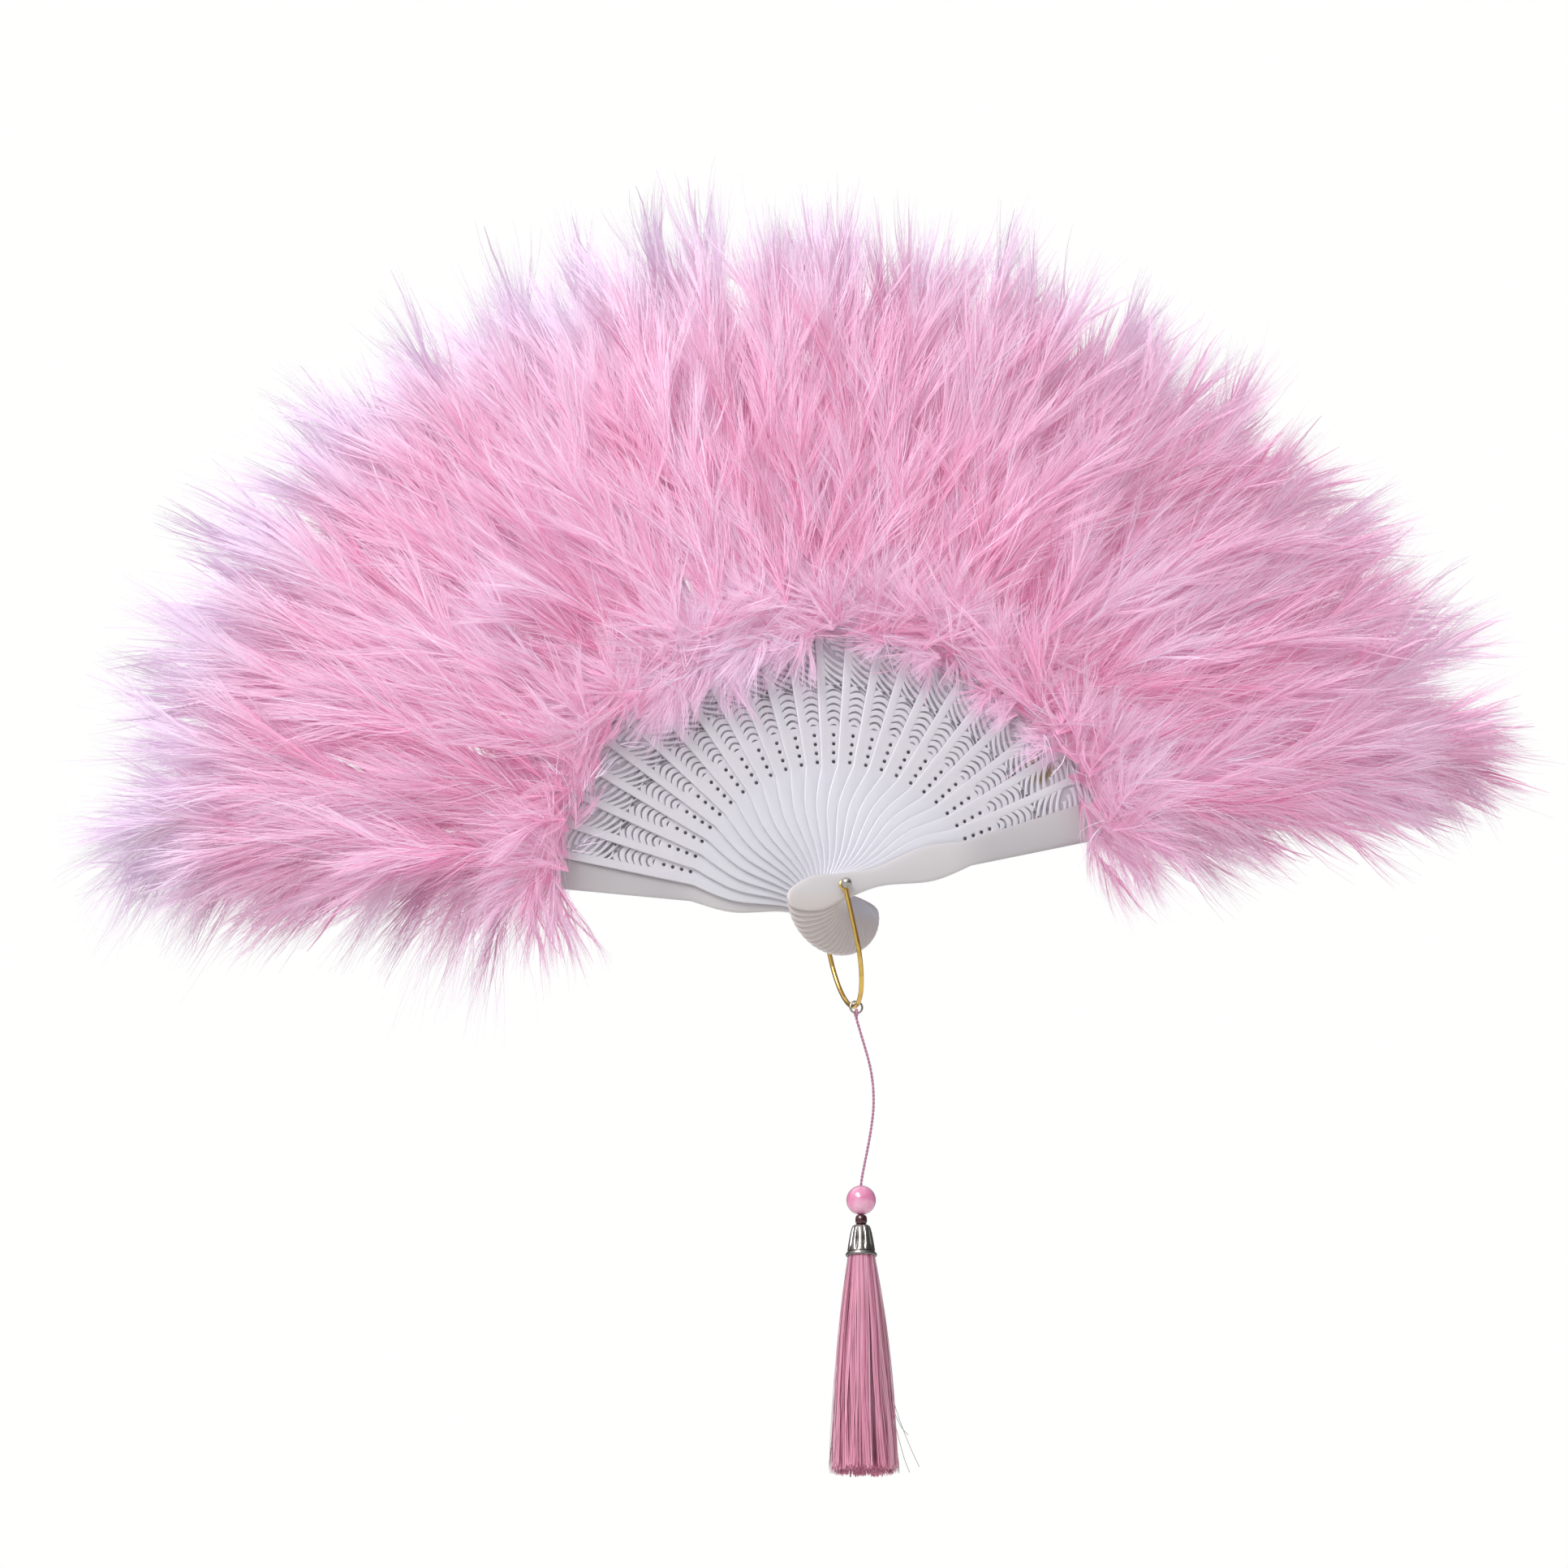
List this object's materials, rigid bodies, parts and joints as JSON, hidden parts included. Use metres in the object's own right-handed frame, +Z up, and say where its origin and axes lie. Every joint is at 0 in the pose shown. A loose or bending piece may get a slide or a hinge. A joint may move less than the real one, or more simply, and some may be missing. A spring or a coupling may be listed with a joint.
{
  "type": "feather fan",
  "caption": "Folding hand fan with pierced moulded sticks on a ball-headed rivet, soft feather tufts along the rim, and a silk tassel hung from a wire bail.",
  "frame": {"origin": "on the rivet axis, half-way through the stack of sticks, where a hand holds the fan", "axes": "+X along the open fan to the right seen from the front, -Y out of the front, +Z up; the tassel hangs along -Z"},
  "size_m": [0.5061, 0.0628, 0.4528],
  "materials": {
    "stick_plastic": "satin",
    "feather_down": "matte",
    "white_tape": "matte",
    "bright_steel": "polished",
    "gilt_wire": "polished",
    "cord_silk": "satin",
    "bead_resin": "gloss",
    "seed_glass": "gloss",
    "skirt_silk": "satin"
  },
  "bodies": {
    "rear_guard": {"rear_guard": "stick_plastic", "rear_guard_feathers": "feather_down", "rivet_post": "bright_steel", "rivet_ball": "bright_steel", "linking_ribbon": "white_tape"},
    "front_guard": {"front_guard": "stick_plastic", "front_guard_feathers": "feather_down"},
    "stick_01": {"stick_01": "stick_plastic", "stick_01_feathers": "feather_down"},
    "stick_02": {"stick_02": "stick_plastic", "stick_02_feathers": "feather_down"},
    "stick_03": {"stick_03": "stick_plastic", "stick_03_feathers": "feather_down"},
    "stick_04": {"stick_04": "stick_plastic", "stick_04_feathers": "feather_down"},
    "stick_05": {"stick_05": "stick_plastic", "stick_05_feathers": "feather_down"},
    "stick_06": {"stick_06": "stick_plastic", "stick_06_feathers": "feather_down"},
    "stick_07": {"stick_07": "stick_plastic", "stick_07_feathers": "feather_down"},
    "stick_08": {"stick_08": "stick_plastic", "stick_08_feathers": "feather_down"},
    "stick_09": {"stick_09": "stick_plastic", "stick_09_feathers": "feather_down"},
    "stick_10": {"stick_10": "stick_plastic", "stick_10_feathers": "feather_down"},
    "stick_11": {"stick_11": "stick_plastic", "stick_11_feathers": "feather_down"},
    "stick_12": {"stick_12": "stick_plastic", "stick_12_feathers": "feather_down"},
    "stick_13": {"stick_13": "stick_plastic", "stick_13_feathers": "feather_down"},
    "stick_14": {"stick_14": "stick_plastic", "stick_14_feathers": "feather_down"},
    "stick_15": {"stick_15": "stick_plastic", "stick_15_feathers": "feather_down"},
    "stick_16": {"stick_16": "stick_plastic", "stick_16_feathers": "feather_down"},
    "stick_17": {"stick_17": "stick_plastic", "stick_17_feathers": "feather_down"},
    "stick_18": {"stick_18": "stick_plastic", "stick_18_feathers": "feather_down"},
    "stick_19": {"stick_19": "stick_plastic", "stick_19_feathers": "feather_down"},
    "stick_20": {"stick_20": "stick_plastic", "stick_20_feathers": "feather_down"},
    "stick_21": {"stick_21": "stick_plastic", "stick_21_feathers": "feather_down"},
    "stick_22": {"stick_22": "stick_plastic", "stick_22_feathers": "feather_down"},
    "stick_23": {"stick_23": "stick_plastic", "stick_23_feathers": "feather_down"},
    "bail": {"wire_bail": "gilt_wire"},
    "ring": {"jump_ring": "bright_steel"},
    "tassel": {"tassel_cord": "cord_silk", "round_bead": "bead_resin", "seed_bead": "seed_glass", "tassel_cap": "bright_steel", "tassel_skirt": "skirt_silk"}
  },
  "joints": [
    {"name": "fan_fold", "type": "hinge", "parent": "rear_guard", "child": "front_guard", "pos_m": [0, 0, 0], "axis": [0, -1, 0], "range_deg": [0, 157.2], "deforming": ["front_guard_feathers", "stick_01_feathers", "stick_02_feathers", "stick_03_feathers", "stick_04_feathers", "stick_05_feathers", "stick_06_feathers", "stick_07_feathers", "stick_08_feathers", "stick_09_feathers", "stick_10_feathers", "stick_11_feathers", "stick_12_feathers", "stick_13_feathers", "stick_14_feathers", "stick_15_feathers", "stick_16_feathers", "stick_17_feathers", "stick_18_feathers", "stick_19_feathers", "stick_20_feathers", "stick_21_feathers", "stick_22_feathers", "stick_23_feathers", "rear_guard_feathers", "linking_ribbon"]},
    {"name": "stick_01_fold", "type": "hinge", "parent": "rear_guard", "child": "stick_01", "pos_m": [0, 0, 0], "axis": [0, -1, 0], "range_deg": [0, 150.67]},
    {"name": "stick_02_fold", "type": "hinge", "parent": "rear_guard", "child": "stick_02", "pos_m": [0, 0, 0], "axis": [0, -1, 0], "range_deg": [0, 144.12]},
    {"name": "stick_03_fold", "type": "hinge", "parent": "rear_guard", "child": "stick_03", "pos_m": [0, 0, 0], "axis": [0, -1, 0], "range_deg": [0, 137.57]},
    {"name": "stick_04_fold", "type": "hinge", "parent": "rear_guard", "child": "stick_04", "pos_m": [0, 0, 0], "axis": [0, -1, 0], "range_deg": [0, 131.02]},
    {"name": "stick_05_fold", "type": "hinge", "parent": "rear_guard", "child": "stick_05", "pos_m": [0, 0, 0], "axis": [0, -1, 0], "range_deg": [0, 124.47]},
    {"name": "stick_06_fold", "type": "hinge", "parent": "rear_guard", "child": "stick_06", "pos_m": [0, 0, 0], "axis": [0, -1, 0], "range_deg": [0, 117.92]},
    {"name": "stick_07_fold", "type": "hinge", "parent": "rear_guard", "child": "stick_07", "pos_m": [0, 0, 0], "axis": [0, -1, 0], "range_deg": [0, 111.37]},
    {"name": "stick_08_fold", "type": "hinge", "parent": "rear_guard", "child": "stick_08", "pos_m": [0, 0, 0], "axis": [0, -1, 0], "range_deg": [0, 104.82]},
    {"name": "stick_09_fold", "type": "hinge", "parent": "rear_guard", "child": "stick_09", "pos_m": [0, 0, 0], "axis": [0, -1, 0], "range_deg": [0, 98.27]},
    {"name": "stick_10_fold", "type": "hinge", "parent": "rear_guard", "child": "stick_10", "pos_m": [0, 0, 0], "axis": [0, -1, 0], "range_deg": [0, 91.72]},
    {"name": "stick_11_fold", "type": "hinge", "parent": "rear_guard", "child": "stick_11", "pos_m": [0, 0, 0], "axis": [0, -1, 0], "range_deg": [0, 85.17]},
    {"name": "stick_12_fold", "type": "hinge", "parent": "rear_guard", "child": "stick_12", "pos_m": [0, 0, 0], "axis": [0, -1, 0], "range_deg": [0, 78.62]},
    {"name": "stick_13_fold", "type": "hinge", "parent": "rear_guard", "child": "stick_13", "pos_m": [0, 0, 0], "axis": [0, -1, 0], "range_deg": [0, 72.07]},
    {"name": "stick_14_fold", "type": "hinge", "parent": "rear_guard", "child": "stick_14", "pos_m": [0, 0, 0], "axis": [0, -1, 0], "range_deg": [0, 65.52]},
    {"name": "stick_15_fold", "type": "hinge", "parent": "rear_guard", "child": "stick_15", "pos_m": [0, 0, 0], "axis": [0, -1, 0], "range_deg": [0, 58.97]},
    {"name": "stick_16_fold", "type": "hinge", "parent": "rear_guard", "child": "stick_16", "pos_m": [0, 0, 0], "axis": [0, -1, 0], "range_deg": [0, 52.42]},
    {"name": "stick_17_fold", "type": "hinge", "parent": "rear_guard", "child": "stick_17", "pos_m": [0, 0, 0], "axis": [0, -1, 0], "range_deg": [0, 45.87]},
    {"name": "stick_18_fold", "type": "hinge", "parent": "rear_guard", "child": "stick_18", "pos_m": [0, 0, 0], "axis": [0, -1, 0], "range_deg": [0, 39.32]},
    {"name": "stick_19_fold", "type": "hinge", "parent": "rear_guard", "child": "stick_19", "pos_m": [0, 0, 0], "axis": [0, -1, 0], "range_deg": [0, 32.77]},
    {"name": "stick_20_fold", "type": "hinge", "parent": "rear_guard", "child": "stick_20", "pos_m": [0, 0, 0], "axis": [0, -1, 0], "range_deg": [0, 26.22]},
    {"name": "stick_21_fold", "type": "hinge", "parent": "rear_guard", "child": "stick_21", "pos_m": [0, 0, 0], "axis": [0, -1, 0], "range_deg": [0, 19.67]},
    {"name": "stick_22_fold", "type": "hinge", "parent": "rear_guard", "child": "stick_22", "pos_m": [0, 0, 0], "axis": [0, -1, 0], "range_deg": [0, 13.12]},
    {"name": "stick_23_fold", "type": "hinge", "parent": "rear_guard", "child": "stick_23", "pos_m": [0, 0, 0], "axis": [0, -1, 0], "range_deg": [0, 6.57]},
    {"name": "bail_swing", "type": "hinge", "parent": "rear_guard", "child": "bail", "pos_m": [0, 0, 0], "axis": [0, -1, 0], "range_deg": [-40, 30]},
    {"name": "ring_swing", "type": "hinge", "parent": "bail", "child": "ring", "pos_m": [0.00835, 0, -0.03769], "axis": [0, -1, 0], "range_deg": [-35, 35]},
    {"name": "tassel_swing", "type": "hinge", "parent": "ring", "child": "tassel", "pos_m": [0.00835, 0, -0.04043], "axis": [1, 0, 0], "range_deg": [-35, 35]}
  ],
  "couplings": [
    {"joint": "stick_01_fold", "follows": "fan_fold", "ratio": 0.95833},
    {"joint": "stick_02_fold", "follows": "fan_fold", "ratio": 0.91667},
    {"joint": "stick_03_fold", "follows": "fan_fold", "ratio": 0.875},
    {"joint": "stick_04_fold", "follows": "fan_fold", "ratio": 0.83333},
    {"joint": "stick_05_fold", "follows": "fan_fold", "ratio": 0.79167},
    {"joint": "stick_06_fold", "follows": "fan_fold", "ratio": 0.75},
    {"joint": "stick_07_fold", "follows": "fan_fold", "ratio": 0.70833},
    {"joint": "stick_08_fold", "follows": "fan_fold", "ratio": 0.66667},
    {"joint": "stick_09_fold", "follows": "fan_fold", "ratio": 0.625},
    {"joint": "stick_10_fold", "follows": "fan_fold", "ratio": 0.58333},
    {"joint": "stick_11_fold", "follows": "fan_fold", "ratio": 0.54167},
    {"joint": "stick_12_fold", "follows": "fan_fold", "ratio": 0.5},
    {"joint": "stick_13_fold", "follows": "fan_fold", "ratio": 0.45833},
    {"joint": "stick_14_fold", "follows": "fan_fold", "ratio": 0.41667},
    {"joint": "stick_15_fold", "follows": "fan_fold", "ratio": 0.375},
    {"joint": "stick_16_fold", "follows": "fan_fold", "ratio": 0.33333},
    {"joint": "stick_17_fold", "follows": "fan_fold", "ratio": 0.29167},
    {"joint": "stick_18_fold", "follows": "fan_fold", "ratio": 0.25},
    {"joint": "stick_19_fold", "follows": "fan_fold", "ratio": 0.20833},
    {"joint": "stick_20_fold", "follows": "fan_fold", "ratio": 0.16667},
    {"joint": "stick_21_fold", "follows": "fan_fold", "ratio": 0.125},
    {"joint": "stick_22_fold", "follows": "fan_fold", "ratio": 0.083333},
    {"joint": "stick_23_fold", "follows": "fan_fold", "ratio": 0.041667}
  ]
}
